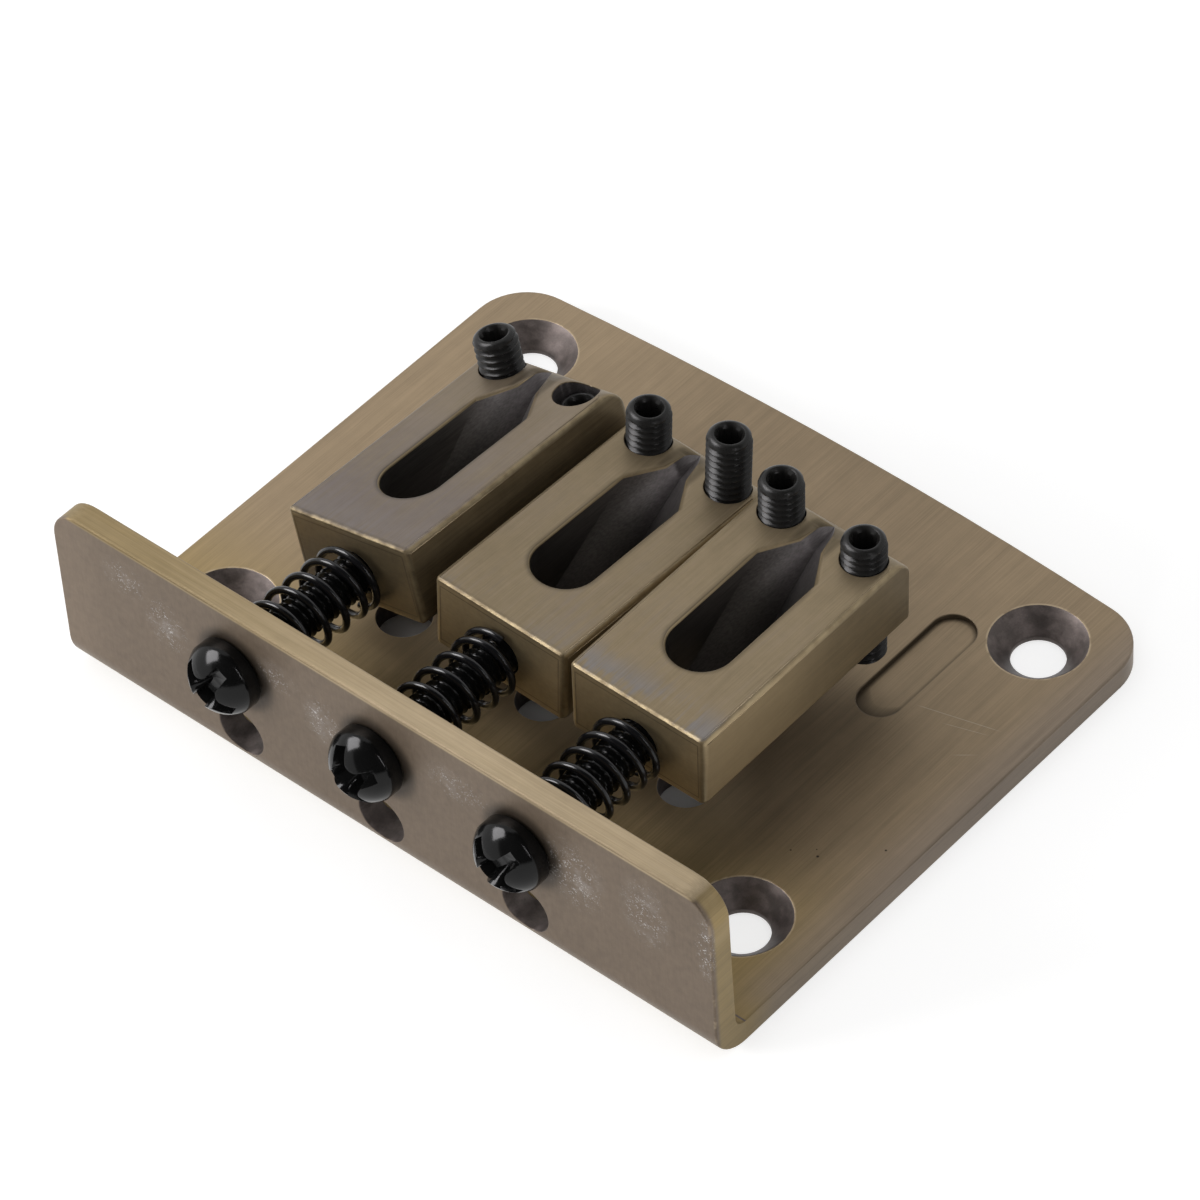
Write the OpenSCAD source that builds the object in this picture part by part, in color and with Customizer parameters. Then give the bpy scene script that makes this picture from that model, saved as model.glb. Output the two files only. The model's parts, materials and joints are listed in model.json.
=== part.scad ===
// Hardtail bridge for a three-string electric guitar, in millimetres.
// A bent brass plate carries three block saddles. Each saddle hangs on a sprung
// intonation screw through the rear lip and stands on two height screws.
// Origin: centre of the four mounting holes, on the underside of the plate.
// +X runs along the lip to the treble side, +Y towards the neck, +Z up.

/* [Base plate] */
// Width of the plate along the lip
plate_w = 52.5; // [48:0.5:64]
// Length from the lip's outer face to the front corners
plate_l = 42; // [41:0.5:56]
// How far the front edge bows out at its middle
front_bow = 1.1; // [0.4:0.1:2.5]
// Thickness of the sheet
sheet_t = 1.75; // [1.2:0.05:2.4]
// Inner radius of the bend between plate and lip
bend_inner_r = 0.9; // [0.5:0.1:1.5]
// Height of the lip above the underside
lip_h = 14; // [12.5:0.5:18]
// Radius of the two front corners
front_corner_r = 3.8; // [1:0.1:4.5]
// Radius of the two top corners of the lip
lip_corner_r = 2.3; // [0.5:0.1:3]

/* [Mounting holes] */
// Distance between the mounting holes across the plate
mount_dx = 41.7; // [38:0.1:44]
// Distance from the front mounting holes to the front corners
mount_front = 4.8; // [4.2:0.1:6]
// Distance from the lip's outer face to the rear mounting holes
mount_rear = 8.7; // [7.5:0.1:9.5]
// Diameter of the mounting screw holes
mount_hole_d = 3.5; // [2.8:0.1:4]
// Diameter of the countersinks
countersink_d = 6.3; // [5:0.1:6.8]

/* [String holes] */
// Distance between neighbouring strings
string_pitch = 11.5; // [11.4:0.1:12.6]
// Diameter of the holes that a string passes through
string_hole_d = 3.6; // [2.4:0.1:3.8]
// Distance from the lip's outer face to the holes in the plate
string_hole_y = 14.7; // [14:0.1:18]
// Air between the plate and the lower edge of the holes in the lip
rear_hole_lift = 0.15; // [0.05:0.05:0.5]

/* [Locating grooves] */
// Width of the shallow groove on each side
groove_w = 3; // [2:0.1:4]
// Length of each groove from end to end
groove_l = 10.1; // [6:0.1:12]
// Depth of each groove
groove_depth = 0.35; // [0.1:0.05:0.8]
// Distance from the middle of the plate to a groove
groove_x = 16.2; // [15:0.1:18]
// Distance from the middle of a groove to the front corners
groove_front = 10.95; // [9:0.05:13]

/* [Saddles] */
// Width of a saddle
saddle_w = 10.5; // [8.5:0.1:11]
// Length of a saddle
saddle_l = 19.7; // [18.5:0.1:23]
// Height of a saddle
saddle_h = 5.6; // [5:0.1:7]
// Height of the intonation screw's axis above the saddle's underside
saddle_axis_h = 2.35; // [2.2:0.05:2.8]
// Radius over which the string leaves the saddle's front
saddle_nose_r = 2; // [1:0.1:3.5]
// Radius of the saddle's long edges and upright corners
saddle_edge_r = 0.45; // [0.2:0.05:1]

/* [String slot in a saddle] */
// Width of the slot
slot_w = 4.4; // [3:0.1:4.6]
// Thickness of the wall behind the slot
slot_rear_wall = 3.95; // [3:0.05:5]
// Distance from the saddle's rear face to where the ramp meets the string notch
slot_front = 16.8; // [14:0.1:17]
// Angle of the ramp that rises to the front, from level
ramp_angle = 36; // [30:1:50]
// Opening angle of the V that runs up the ramp
ramp_v_angle = 90; // [70:2:120]
// Depth of the string notch below the saddle's top, where the ramp meets it
notch_depth = 0.9; // [0.4:0.05:1.4]
// Opening angle of the string notch
notch_angle = 90; // [60:2:110]
// Angle at which the bottom of the notch rises to the front, from level
notch_rise = 17; // [0:1:25]

/* [Intonation screws] */
// Outer diameter of the screws' thread
screw_d = 2.9; // [2.4:0.05:3.2]
// Length of an intonation screw under its head
screw_l = 16; // [15:0.5:20]
// Diameter of the screw heads
head_d = 5.1; // [4.5:0.1:6]
// Height of the upright rim of the heads, below their dome
head_rim_h = 0.6; // [0.2:0.05:1]
// Height of the screw heads
head_h = 2.6; // [2:0.1:2.8]
// Height of the screw holes in the lip above the underside
screw_z = 9.2; // [8.6:0.1:11]
// Width of the arms of the cross recess
recess_w = 1.05; // [0.5:0.05:1.2]
// Span of the cross recess, level with the crown of the head
recess_span = 5; // [3:0.1:5.4]
// Depth of the cross recess
recess_depth = 1.7; // [0.8:0.1:1.8]
// Diameter of the round pit where the arms meet
recess_pit_d = 2.4; // [1.2:0.1:2.8]
// Turn of the bass screw's cross recess
bass_recess_turn = 47; // [0:1:89]
// Turn of the middle screw's cross recess
middle_recess_turn = 28; // [0:1:89]
// Turn of the treble screw's cross recess
treble_recess_turn = 50; // [0:1:89]

/* [Height screws] */
// Length of a height screw
height_screw_l = 10; // [8:0.1:12]
// Length of the bass saddle's right height screw, which ends below the saddle's top
short_screw_l = 9.4; // [8.4:0.1:9.9]
// Distance between the two height screws of a saddle
height_screw_dx = 6.4; // [6.2:0.1:6.8]
// Distance from the saddle's front to its height screws
height_screw_front = 2.1; // [1.8:0.1:2.8]
// Key size across the flats of the hexagon socket
socket_af = 1.5; // [1.2:0.05:1.8]
// Depth of the hexagon socket
socket_depth = 1.8; // [1:0.1:2.5]
// Chamfer at both ends of a height screw
end_chamfer = 0.3; // [0.1:0.05:0.6]

/* [Springs] */
// Diameter of the spring wire
wire_d = 0.5; // [0.3:0.05:0.55]
// Outer diameter of a spring
spring_od = 4.9; // [4.4:0.1:5.2]
// Number of turns that lie close together at each end
end_turns = 1; // [0.5:0.25:2]
// Rise of one of the end turns
end_pitch = 0.95; // [0.95:0.05:1.1]
// Number of open turns between the ends
open_turns = 4; // [2:0.5:5]
// Turn of the bass spring about its screw
bass_spring_turn = 90; // [0:1:359]
// Turn of the middle spring about its screw
middle_spring_turn = 288; // [0:1:359]
// Turn of the treble spring about its screw
treble_spring_turn = 144; // [0:1:359]

/* [Bass saddle set-up] */
// Distance from the lip's inner face to the bass saddle
bass_gap = 9.2; // [7.5:0.1:10.5]
// Slope of the bass screw and saddle, front down is negative
bass_tilt = -1.95; // [-2.6:0.05:2.6]
// Sideways roll of the bass saddle, treble side up is negative
bass_roll = -13.4; // [-14:0.1:14]
// Swing of the bass saddle seen from above, front to treble is negative
bass_swing = -0.75; // [-1.2:0.05:1.2]
// Height of the bass saddle's outer height screw above its top
bass_left_proud = 2.5; // [0:0.1:3.6]

/* [Middle saddle set-up] */
// Distance from the lip's inner face to the middle saddle
middle_gap = 9.45; // [7.5:0.05:10.5]
// Slope of the middle screw and saddle, front down is negative
middle_tilt = -2.55; // [-2.6:0.05:2.6]
// Sideways roll of the middle saddle, treble side up is negative
middle_roll = 1.9; // [-3:0.1:3]
// Swing of the middle saddle seen from above, front to treble is negative
middle_swing = 0; // [-0.5:0.05:0.5]
// Height of the middle saddle's left height screw above its top
middle_left_proud = 2.7; // [0:0.1:4.2]
// Height of the middle saddle's right height screw above its top
middle_right_proud = 4.5; // [0:0.1:4.8]

/* [Treble saddle set-up] */
// Distance from the lip's inner face to the treble saddle
treble_gap = 8.95; // [7.5:0.05:10.5]
// Slope of the treble screw and saddle, front down is negative
treble_tilt = -0.15; // [-2.6:0.05:2.6]
// Sideways roll of the treble saddle, treble side up is negative
treble_roll = 1.7; // [-3:0.1:3]
// Swing of the treble saddle seen from above, front to treble is negative
treble_swing = 0.55; // [-1.2:0.05:1.2]
// Height of the treble saddle's left height screw above its top
treble_left_proud = 2.8; // [0:0.1:4.2]
// Height of the treble saddle's right height screw above its top
treble_right_proud = 1.8; // [0:0.1:4.2]

/* [Clearances] */
// Radial clearance of a screw in its tapped hole
thread_clear = 0.05; // [0.02:0.01:0.08]
// Radial clearance of an intonation screw in the lip
lip_hole_clear = 0.25; // [0.2:0.05:0.4]
// Air between a screw head and the lip, so that the screw can tilt
head_clear = 0.14; // [0.13:0.01:0.3]
// Air at both ends of a spring
spring_clear = 0.15; // [0.13:0.01:0.3]
// Air between the resting height screw and the plate
foot_clear = 0.15; // [0.12:0.01:0.3]

/* [Hidden] */
$fn = 64;

// Reach of a cutting shape past the surface that it cuts
over = 1;
// The strings in order from bass to treble
BASS = 0;
MIDDLE = 1;
TREBLE = 2;
strings = [BASS, MIDDLE, TREBLE];
sides = [-1, 1];
gaps = [bass_gap, middle_gap, treble_gap];
tilts = [bass_tilt, middle_tilt, treble_tilt];
rolls = [bass_roll, middle_roll, treble_roll];
swings = [bass_swing, middle_swing, treble_swing];
recess_turns = [bass_recess_turn, middle_recess_turn, treble_recess_turn];
spring_rotations = [bass_spring_turn, middle_spring_turn, treble_spring_turn];

mount_dy = plate_l - mount_rear - mount_front;
lip_y = -mount_rear - mount_dy / 2;
bend_outer_r = bend_inner_r + sheet_t;
rear_hole_z = sheet_t + rear_hole_lift + string_hole_d / 2;
bow_r = (pow(plate_w / 2, 2) + pow(front_bow, 2)) / (2 * front_bow);
bow_y = plate_l + front_bow - bow_r;
corner_x = plate_w / 2 - front_corner_r;
corner_y = bow_y + sqrt(pow(bow_r - front_corner_r, 2) - pow(corner_x, 2));
corner_turn = atan2(corner_y - bow_y, corner_x);
countersink_h = (countersink_d - mount_hole_d) / 2;

saddle_top = saddle_h - saddle_axis_h;
slot_r = slot_w / 2;
notch_z = saddle_top - notch_depth;
height_screw_y = saddle_l - height_screw_front;
screw_r = screw_d / 2;
tapped_r = screw_r + thread_clear;
foot_r = screw_r - end_chamfer;

wire_r = wire_d / 2;
coil_r = (spring_od - wire_d) / 2;
spring_turns = 2 * end_turns + open_turns;
// Slope of the arms' outer ends from the screw's axis
recess_flank = 26.5;
rings_per_turn = 8;
wire_sides = 6;

brass = [0.50, 0.44, 0.31];
aged_brass = [0.46, 0.40, 0.30];
black_steel = [0.09, 0.09, 0.10];
black_wire = [0.06, 0.06, 0.07];

function string_x(i) = (i - MIDDLE) * string_pitch;
// Distance from the lip's outer face to a saddle's rear face
function saddle_y(i) = sheet_t + gaps[i];
// Length of a spring between the lip and its saddle
function spring_l(i) = gaps[i] - 2 * spring_clear;

// Height of the foot of a screw that rests on the plate, along the saddle's own
// upright from the intonation screw's axis, for a screw at x on string i
function resting_foot(i, x) =
    let (upright = cos(tilts[i]) * cos(rolls[i]),
         reach = saddle_y(i) + height_screw_y,
         rim_drop = foot_r * sqrt(1 - upright * upright),
         wanted = sheet_t + foot_clear + rim_drop - screw_z,
         lift = reach * sin(tilts[i]) - x * sin(rolls[i]) * cos(tilts[i]))
    (wanted - lift) / upright;

// Foot of a height screw whose top stands proud of the saddle
function proud_foot(proud) = saddle_top + proud - height_screw_l;

// Places what hangs on string i: Y along its screw from the lip's outer face
module on_string(i) {
    translate([string_x(i), lip_y, screw_z])
        rotate([0, 0, swings[i]])
            rotate([tilts[i], 0, 0])
                rotate([0, rolls[i], 0])
                    children();
}

// Places a saddle's own frame: its origin is the screw axis at the rear face
module on_saddle(i) {
    on_string(i)
        translate([0, saddle_y(i), 0])
            children();
}

// What a round corner takes away from a square one, in the first quadrant
module corner_waste(r) {
    difference() {
        square(r + over);
        circle(r);
    }
}

// Rectangle with round corners, its lower left corner at the origin
module round_rectangle(w, h, r) {
    difference() {
        square([w, h]);
        translate([r, r])
            rotate(180)
                corner_waste(r);
        translate([w - r, r])
            rotate(270)
                corner_waste(r);
        translate([w - r, h - r])
            corner_waste(r);
        translate([r, h - r])
            rotate(90)
                corner_waste(r);
    }
}

// Slot with round ends along Y, centred at the origin
module stadium(w, l) {
    square([w, l - w], center = true);
    for (end = sides)
        translate([0, end * (l - w) / 2])
            circle(w / 2);
}

// Extrudes a drawing of the YZ plane over the width w, centred on X
module across(w) {
    translate([-w / 2, 0, 0])
        rotate([90, 0, 90])
            linear_extrude(w)
                children();
}

// Extrudes a drawing of the XZ plane from y = 0 over the length l
module along(l) {
    translate([0, l, 0])
        rotate([90, 0, 0])
            linear_extrude(l)
                children();
}

// Side view of the bent sheet: Y from the lip's outer face, Z up
module sheet_profile() {
    translate([bend_outer_r, 0])
        square([plate_l + front_bow - bend_outer_r, sheet_t]);
    translate([0, bend_outer_r])
        square([sheet_t, lip_h - bend_outer_r]);
    translate([bend_outer_r, bend_outer_r])
        intersection() {
            difference() {
                circle(bend_outer_r);
                circle(bend_inner_r);
            }
            translate([-bend_outer_r - over, -bend_outer_r - over])
                square(bend_outer_r + over);
        }
}

// Waste outside one front corner, between the side and the bowed front edge
module front_corner_waste() {
    far = 3 * front_corner_r;
    translate([corner_x, corner_y])
        difference() {
            polygon([
                [0, 0],
                [far, 0],
                [far, far],
                [far * cos(corner_turn), far * sin(corner_turn)]
            ]);
            circle(front_corner_r);
        }
}

// Plan view of the plate, Y from the lip's outer face
module plate_outline() {
    difference() {
        intersection() {
            translate([-plate_w / 2, 0])
                square([plate_w, plate_l + front_bow]);
            translate([0, bow_y])
                circle(bow_r, $fn = 720);
        }
        front_corner_waste();
        mirror([1, 0])
            front_corner_waste();
    }
}

// Rear view of the lip
module lip_outline() {
    difference() {
        translate([-plate_w / 2, 0])
            square([plate_w, lip_h]);
        for (side = sides)
            scale([side, 1])
                translate([plate_w / 2 - lip_corner_r, lip_h - lip_corner_r])
                    corner_waste(lip_corner_r);
    }
}

// Countersunk hole for one mounting screw
module mounting_hole() {
    translate([0, 0, -over])
        cylinder(h = sheet_t + 2 * over, d = mount_hole_d);
    translate([0, 0, sheet_t - countersink_h])
        cylinder(h = countersink_h, d1 = mount_hole_d, d2 = countersink_d);
    translate([0, 0, sheet_t])
        cylinder(h = over, d = countersink_d);
}

// Round hole through the lip at height z
module lip_hole(z, d) {
    translate([0, -over, z])
        rotate([-90, 0, 0])
            cylinder(h = bend_outer_r + 2 * over, d = d);
}

module base_plate() {
    color(brass)
        difference() {
            translate([0, lip_y, 0])
                intersection() {
                    across(plate_w)
                        sheet_profile();
                    linear_extrude(lip_h)
                        plate_outline();
                    along(plate_l + front_bow)
                        lip_outline();
                }
            for (x = sides, y = sides)
                translate([x * mount_dx / 2, y * mount_dy / 2, 0])
                    mounting_hole();
            for (i = strings)
                translate([string_x(i), lip_y, 0]) {
                    lip_hole(screw_z, screw_d + 2 * lip_hole_clear);
                    lip_hole(rear_hole_z, string_hole_d);
                    translate([0, string_hole_y, -over])
                        cylinder(h = sheet_t + 2 * over, d = string_hole_d);
                }
            for (side = sides)
                translate([side * groove_x, lip_y + plate_l - groove_front, sheet_t - groove_depth])
                    linear_extrude(groove_depth + over)
                        stadium(groove_w, groove_l);
        }
}

// Side view of a saddle: Y from the rear face, Z from the screw axis
module saddle_side() {
    translate([0, -saddle_axis_h])
        difference() {
            square([saddle_l, saddle_h]);
            translate([saddle_l - saddle_nose_r, saddle_h - saddle_nose_r])
                corner_waste(saddle_nose_r);
        }
}

// Plan view of a saddle
module saddle_plan() {
    translate([-saddle_w / 2, 0])
        round_rectangle(saddle_w, saddle_l, saddle_edge_r);
}

// End view of a saddle
module saddle_end() {
    translate([-saddle_w / 2, -saddle_axis_h])
        round_rectangle(saddle_w, saddle_h, saddle_edge_r);
}

// Straight V channel along +Y with its bottom line on the Y axis
module v_channel(l, angle, h) {
    half = h * tan(angle / 2);
    along(l)
        polygon([[0, 0], [half, h], [-half, h]]);
}

// Slot for the string: upright walls, a V-shaped ramp that rises to the front
// and a finer notch that runs out over the nose
module string_slot() {
    ramp_end = slot_front + notch_depth / tan(ramp_angle);
    slot_l = ramp_end - slot_rear_wall;
    reach = 2 * saddle_l;
    intersection() {
        translate([0, slot_rear_wall + slot_l / 2, -saddle_axis_h - over])
            linear_extrude(saddle_h + 2 * over)
                stadium(slot_w, slot_l);
        translate([0, slot_front, notch_z])
            rotate([ramp_angle, 0, 0])
                translate([0, -reach, 0])
                    v_channel(reach + saddle_l, ramp_v_angle, reach);
    }
    translate([0, slot_front, notch_z])
        rotate([notch_rise, 0, 0])
            translate([0, -slot_r, 0])
                v_channel(saddle_l - slot_front + slot_r + over, notch_angle, saddle_h);
}

module saddle(i) {
    color(aged_brass)
        on_saddle(i)
            difference() {
                intersection() {
                    across(saddle_w)
                        saddle_side();
                    translate([0, 0, -saddle_axis_h])
                        linear_extrude(saddle_h)
                            saddle_plan();
                    along(saddle_l)
                        saddle_end();
                }
                string_slot();
                translate([0, -over, 0])
                    rotate([-90, 0, 0])
                        cylinder(h = slot_rear_wall + slot_r + over, r = tapped_r);
                for (side = sides)
                    translate([side * height_screw_dx / 2, height_screw_y, -saddle_axis_h - over])
                        cylinder(h = saddle_h + 2 * over, r = tapped_r);
            }
}

// Half section of the domed head, X outwards and Y up from its seat
module head_section() {
    crown_h = head_h - head_rim_h;
    crown_r = (pow(head_d / 2, 2) + pow(crown_h, 2)) / (2 * crown_h);
    intersection() {
        square([head_d / 2, head_h]);
        translate([0, head_h - crown_r])
            circle(crown_r, $fn = 128);
    }
}

// Cross recess in the top of a screw head, its mouth at z = 0
module cross_recess() {
    for (turn = [0, 90])
        rotate([0, 0, turn])
            recess_bar();
    translate([0, 0, -recess_depth])
        cylinder(h = recess_depth, d1 = recess_w, d2 = recess_pit_d);
}

// Two opposite arms of the cross: a flat bar that narrows downwards
module recess_bar() {
    mouth = recess_span / 2;
    floor_reach = mouth - recess_depth * tan(recess_flank);
    rotate([90, 0, 0])
        translate([0, 0, -recess_w / 2])
            linear_extrude(recess_w)
                polygon([
                    [-mouth, over],
                    [mouth, over],
                    [mouth, 0],
                    [floor_reach, -recess_depth],
                    [-floor_reach, -recess_depth],
                    [-mouth, 0]
                ]);
}

module intonation_screw(i) {
    color(black_steel)
        on_string(i)
            translate([0, -head_clear, 0]) {
                rotate([-90, 0, 0])
                    union() {
                        cylinder(h = screw_l - end_chamfer, r = screw_r);
                        translate([0, 0, screw_l - end_chamfer])
                            cylinder(h = end_chamfer, r1 = screw_r, r2 = foot_r);
                    }
                rotate([90, 0, 0])
                    difference() {
                        rotate_extrude()
                            head_section();
                        translate([0, 0, head_h])
                            rotate([0, 0, recess_turns[i]])
                                cross_recess();
                    }
            }
}

// Height along the spring after a number of turns, for a spring l long
function spring_rise(turns, l) =
    let (open_pitch = (l - wire_d - 2 * end_turns * end_pitch) / open_turns)
    turns < end_turns ? turns * end_pitch
    : turns < end_turns + open_turns
        ? end_turns * end_pitch + (turns - end_turns) * open_pitch
    : l - wire_d - (spring_turns - turns) * end_pitch;

// Angle of the wire from X towards Z after a number of turns of a right-hand coil
function wire_angle(turns) = -360 * turns;

// Middle of the wire after a number of turns, with the spring's axis on Y
function wire_middle(turns, l) = [
    coil_r * cos(wire_angle(turns)),
    wire_r + spring_rise(turns, l),
    coil_r * sin(wire_angle(turns))
];

// One ring of points around the wire
function wire_ring(turns, l) =
    let (step = 0.5 / rings_per_turn,
         ahead = wire_middle(turns + step, l) - wire_middle(turns - step, l),
         outward = [cos(wire_angle(turns)), 0, sin(wire_angle(turns))],
         beside = cross(ahead, outward) / norm(cross(ahead, outward)))
    [for (k = [0 : wire_sides - 1])
        let (a = 360 * k / wire_sides)
        wire_middle(turns, l) + wire_r * (cos(a) * outward + sin(a) * beside)];

// Least distance between the surfaces of neighbouring turns
function least_gap(l) =
    let (count = floor((spring_turns - 1) * rings_per_turn))
    min([for (k = [0 : count], j = [-1 : 1])
        norm(wire_middle(k / rings_per_turn, l)
            - wire_middle((k + j) / rings_per_turn + 1, l))]) - wire_d;

// One unbroken coiled wire along +Y from the origin
module coil_spring(l) {
    last = round(spring_turns * rings_per_turn);
    points = [for (k = [0 : last]) each wire_ring(k / rings_per_turn, l)];
    side_faces = [
        for (k = [0 : last - 1], s = [0 : wire_sides - 1])
            let (a = k * wire_sides + s,
                 b = k * wire_sides + (s + 1) % wire_sides)
            each [[a, b, b + wire_sides], [a, b + wire_sides, a + wire_sides]]
    ];
    first_cap = [for (s = [1 : wire_sides - 2]) [0, s + 1, s]];
    end = last * wire_sides;
    last_cap = [for (s = [1 : wire_sides - 2]) [end, end + s, end + s + 1]];
    polyhedron(points, concat(side_faces, first_cap, last_cap));
}

module intonation_spring(i) {
    echo(spring = i, least_gap = least_gap(spring_l(i)));
    color(black_wire)
        on_string(i)
            translate([0, sheet_t + spring_clear, 0])
                rotate([0, spring_rotations[i], 0])
                    coil_spring(spring_l(i));
}

// Half section of a height screw of length l from its foot up
module height_screw_section(l) {
    polygon([
        [0, 0],
        [foot_r, 0],
        [screw_r, end_chamfer],
        [screw_r, l - end_chamfer],
        [foot_r, l],
        [0, l]
    ]);
}

// Grub screw of length l in the saddle of string i on one side, its foot at height foot
module height_screw(i, side, foot, l = height_screw_l) {
    color(black_steel)
        on_saddle(i)
            translate([side * height_screw_dx / 2, height_screw_y, foot])
                difference() {
                    rotate_extrude()
                        height_screw_section(l);
                    translate([0, 0, l - socket_depth])
                        cylinder(h = socket_depth + over, d = socket_af / cos(30), $fn = 6);
                }
}

base_plate();
saddle(BASS);  // saddle_bass
saddle(MIDDLE);  // saddle_middle
saddle(TREBLE);  // saddle_treble
intonation_screw(BASS);  // intonation_screw_bass
intonation_screw(MIDDLE);  // intonation_screw_middle
intonation_screw(TREBLE);  // intonation_screw_treble
intonation_spring(BASS);  // intonation_spring_bass
intonation_spring(MIDDLE);  // intonation_spring_middle
intonation_spring(TREBLE);  // intonation_spring_treble
height_screw(BASS, -1, proud_foot(bass_left_proud));  // height_screw_bass_left
height_screw(BASS, 1, resting_foot(BASS, height_screw_dx / 2), short_screw_l);  // height_screw_bass_right
height_screw(MIDDLE, -1, proud_foot(middle_left_proud));  // height_screw_middle_left
height_screw(MIDDLE, 1, proud_foot(middle_right_proud));  // height_screw_middle_right
height_screw(TREBLE, -1, proud_foot(treble_left_proud));  // height_screw_treble_left
height_screw(TREBLE, 1, proud_foot(treble_right_proud));  // height_screw_treble_right
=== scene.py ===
import json
import math

import bmesh
import bpy
import numpy as np
from bpy.props import FloatProperty, FloatVectorProperty, IntProperty, PointerProperty
from mathutils import Matrix, Vector


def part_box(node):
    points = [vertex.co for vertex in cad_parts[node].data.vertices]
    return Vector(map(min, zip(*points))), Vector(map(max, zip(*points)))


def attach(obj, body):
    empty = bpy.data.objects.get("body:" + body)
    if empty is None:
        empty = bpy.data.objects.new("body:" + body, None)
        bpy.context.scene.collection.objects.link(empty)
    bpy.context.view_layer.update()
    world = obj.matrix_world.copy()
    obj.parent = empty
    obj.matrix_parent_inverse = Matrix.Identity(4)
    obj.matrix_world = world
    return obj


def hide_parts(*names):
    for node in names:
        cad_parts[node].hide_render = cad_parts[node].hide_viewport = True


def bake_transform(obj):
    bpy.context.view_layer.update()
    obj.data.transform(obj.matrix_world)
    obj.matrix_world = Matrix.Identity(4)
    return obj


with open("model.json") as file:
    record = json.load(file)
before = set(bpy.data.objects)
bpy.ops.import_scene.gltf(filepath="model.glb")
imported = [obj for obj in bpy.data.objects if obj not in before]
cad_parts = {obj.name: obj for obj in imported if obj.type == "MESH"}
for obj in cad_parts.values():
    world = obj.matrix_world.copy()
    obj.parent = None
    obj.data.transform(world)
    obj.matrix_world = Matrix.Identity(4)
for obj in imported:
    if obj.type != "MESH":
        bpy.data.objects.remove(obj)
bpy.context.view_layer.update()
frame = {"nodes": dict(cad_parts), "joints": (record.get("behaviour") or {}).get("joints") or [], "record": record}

bl_info = {
    "name": "Sprung saddle bridge",
    "version": (1, 1, 0),
    "blender": (4, 5, 0),
    "location": "View3D > Sidebar > Bridge",
    "description": "Dresses a three-string hardtail guitar bridge in aged brass and black steel",
    "category": "Object",
}

MM = 0.001
STRINGS = ("bass", "middle", "treble")
SIDES = ("left", "right")
PLATE_BODY = "bridge_plate"

# Places that the looks share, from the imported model
JOINTS = {joint["name"]: joint for joint in frame["joints"]}
MOUNTS = {mount["name"]: mount for mount in frame["record"]["mounts"]}
HOLES = MOUNTS["mounting_holes"]["dims"]
PLATE_LOW, PLATE_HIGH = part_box("base_plate")

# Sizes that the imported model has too
SHEET = 1.75 * MM
NOSE_RADIUS = 2.0 * MM
SADDLE_EDGE = 0.45 * MM
SINK_RADIUS = 3.15 * MM
SEAT_AIR = 0.14 * MM
SCREW_CREST = 1.45 * MM
END_CHAMFER = 0.3 * MM
GROOVE_MIDDLE = (16.2 * MM, 8.1 * MM)
GROOVE_RADIUS = 1.5 * MM
GROOVE_REACH = 3.55 * MM
HEIGHT_SCREW_OUT = 3.2 * MM
HEIGHT_SCREW_BACK = 2.1 * MM
# Heads of the intonation screws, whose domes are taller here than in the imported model
HEAD_RIM = 0.95 * MM
HEAD_PROUD = 0.35 * MM
HEAD_INSET = 0.07 * MM
# Parts of the sheet that hold its holes and grooves and none of its outer edges
HOLE_ZONE = 3.3 * MM
GROOVED_HALF = 19 * MM
BORED_HALF = 14 * MM
HEM = 3 * MM
FRONT_HEM = 5 * MM
LIP_HEM = 1 * MM
# Where the inner bend starts and ends, from the lip's outer face and from the plate's underside
BEND_START = 1.7 * MM
BEND_END = 2.7 * MM


def string_frame(string):
    """A string's own frame as a matrix.

    Y runs along its screw from the lip's outer face, and Z up through its saddle.
    """
    along = Vector(JOINTS[f"{string}_intonation_slide"]["axis"])
    up = Vector(JOINTS[f"{string}_left_height"]["axis"])
    across = along.cross(up)
    place = Matrix((across, along, up)).transposed().to_4x4()
    place.translation = Vector(JOINTS[f"{string}_height_tilt"]["pos_m"])
    return place


def local_box(node, place):
    """Lowest and highest corner of a CAD node in a frame given by a matrix."""
    back = place.inverted()
    points = np.array([back @ v.co for v in frame["nodes"][node].data.vertices])
    return Vector(points.min(0)), Vector(points.max(0))


FRAMES = {string: string_frame(string) for string in STRINGS}


def colour_property(name, description, default):
    return FloatVectorProperty(
        name=name, description=description, default=default, size=3, min=0.0, max=1.0,
        subtype="COLOR")


def size_property(name, description, default, top):
    return FloatProperty(
        name=name, description=description, default=default, min=0.0, max=top,
        subtype="DISTANCE", unit="LENGTH")


class BridgePlateLook(bpy.types.PropertyGroup):
    edge_round: size_property("Edge round", "Radius of the outer edges of the sheet", 0.14 * MM, 0.8 * MM)
    rim_round: size_property("Rim round", "Radius of the rims of holes and grooves", 0.07 * MM, 0.2 * MM)
    brass: colour_property("Brass", "Main tone of the aged plate", (0.248, 0.187, 0.118))
    olive: colour_property("Olive", "Yellower tone near the inner bend", (0.248, 0.182, 0.082))
    # Partly painted shade: the lip's outer face is darker than the rest of the sheet
    lip_brass_and_shade: colour_property("Lip brass", "Greyer tone of the lip's outer face", (0.152, 0.115, 0.083))
    bare: colour_property("Bare brass", "Brass where it is worn", (0.42, 0.335, 0.225))
    patina: colour_property("Patina", "Dark walls of the holes and slots", (0.085, 0.071, 0.065))


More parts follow.
